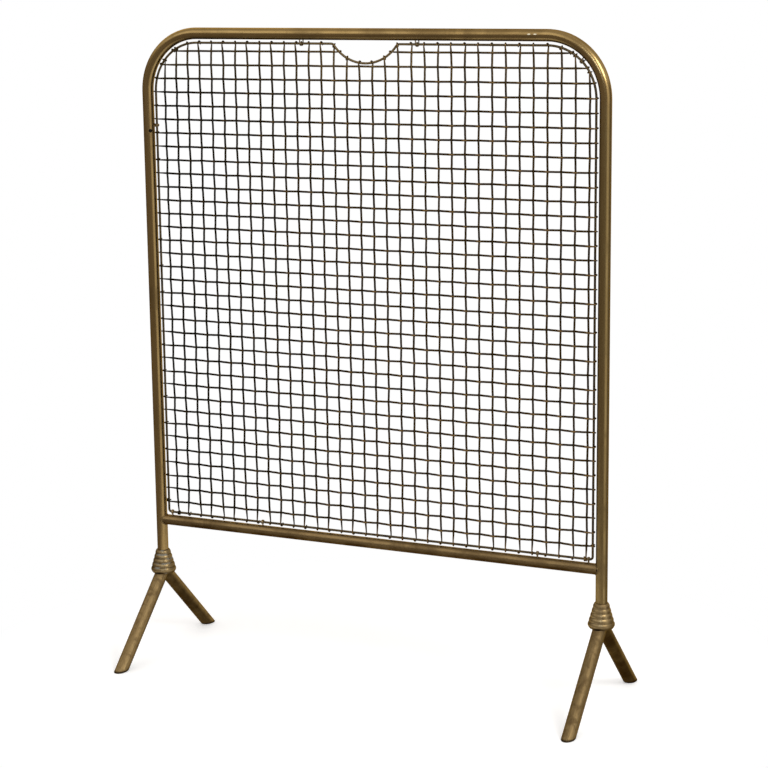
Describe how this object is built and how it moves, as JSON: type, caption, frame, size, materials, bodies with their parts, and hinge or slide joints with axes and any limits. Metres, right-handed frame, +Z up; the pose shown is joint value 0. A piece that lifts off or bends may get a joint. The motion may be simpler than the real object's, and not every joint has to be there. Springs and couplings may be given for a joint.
{
  "type": "fireplace screen",
  "caption": "Free-standing fireplace screen: a bent brass tube hoop on splayed feet, holding a woven wire panel with a half-round hand hold at its top.",
  "frame": {"origin": "on the floor, under the middle of the screen", "axes": "+Z up, +X along the screen to the right as seen from the room, -Y towards the room"},
  "size_m": [0.7124, 0.2748, 0.9],
  "materials": {
    "frame_brass": "aged, brown streaks, half polished",
    "foot_brass": "aged, dull",
    "stud_steel": "plain",
    "border_wire": "dark patina",
    "tie_wire": "dull",
    "mesh_wire": "dark patina, bright on the crimps"
  },
  "bodies": {
    "root": {"frame_hoop": "frame_brass", "bottom_rail": "frame_brass", "left_collar": "foot_brass", "left_tube_plug": "foot_brass", "left_stud": "stud_steel", "left_front_leg": "foot_brass", "left_back_leg": "foot_brass", "right_collar": "foot_brass", "right_tube_plug": "foot_brass", "right_stud": "stud_steel", "right_front_leg": "foot_brass", "right_back_leg": "foot_brass", "mesh_border": "border_wire", "tie_top_left": "tie_wire", "tie_top_right": "tie_wire", "tie_side_left": "tie_wire", "tie_corner_right": "tie_wire", "tie_foot_left": "tie_wire", "tie_foot_right": "tie_wire", "tie_bottom_left": "tie_wire", "tie_bottom_right": "tie_wire", "upright_wires": "mesh_wire", "corner_upright_wires": "mesh_wire", "hand_hold_upright_wires": "mesh_wire", "cross_wires": "mesh_wire", "corner_cross_wires": "mesh_wire", "top_left_cross_wires": "mesh_wire", "top_right_cross_wires": "mesh_wire"}
  },
  "joints": []
}
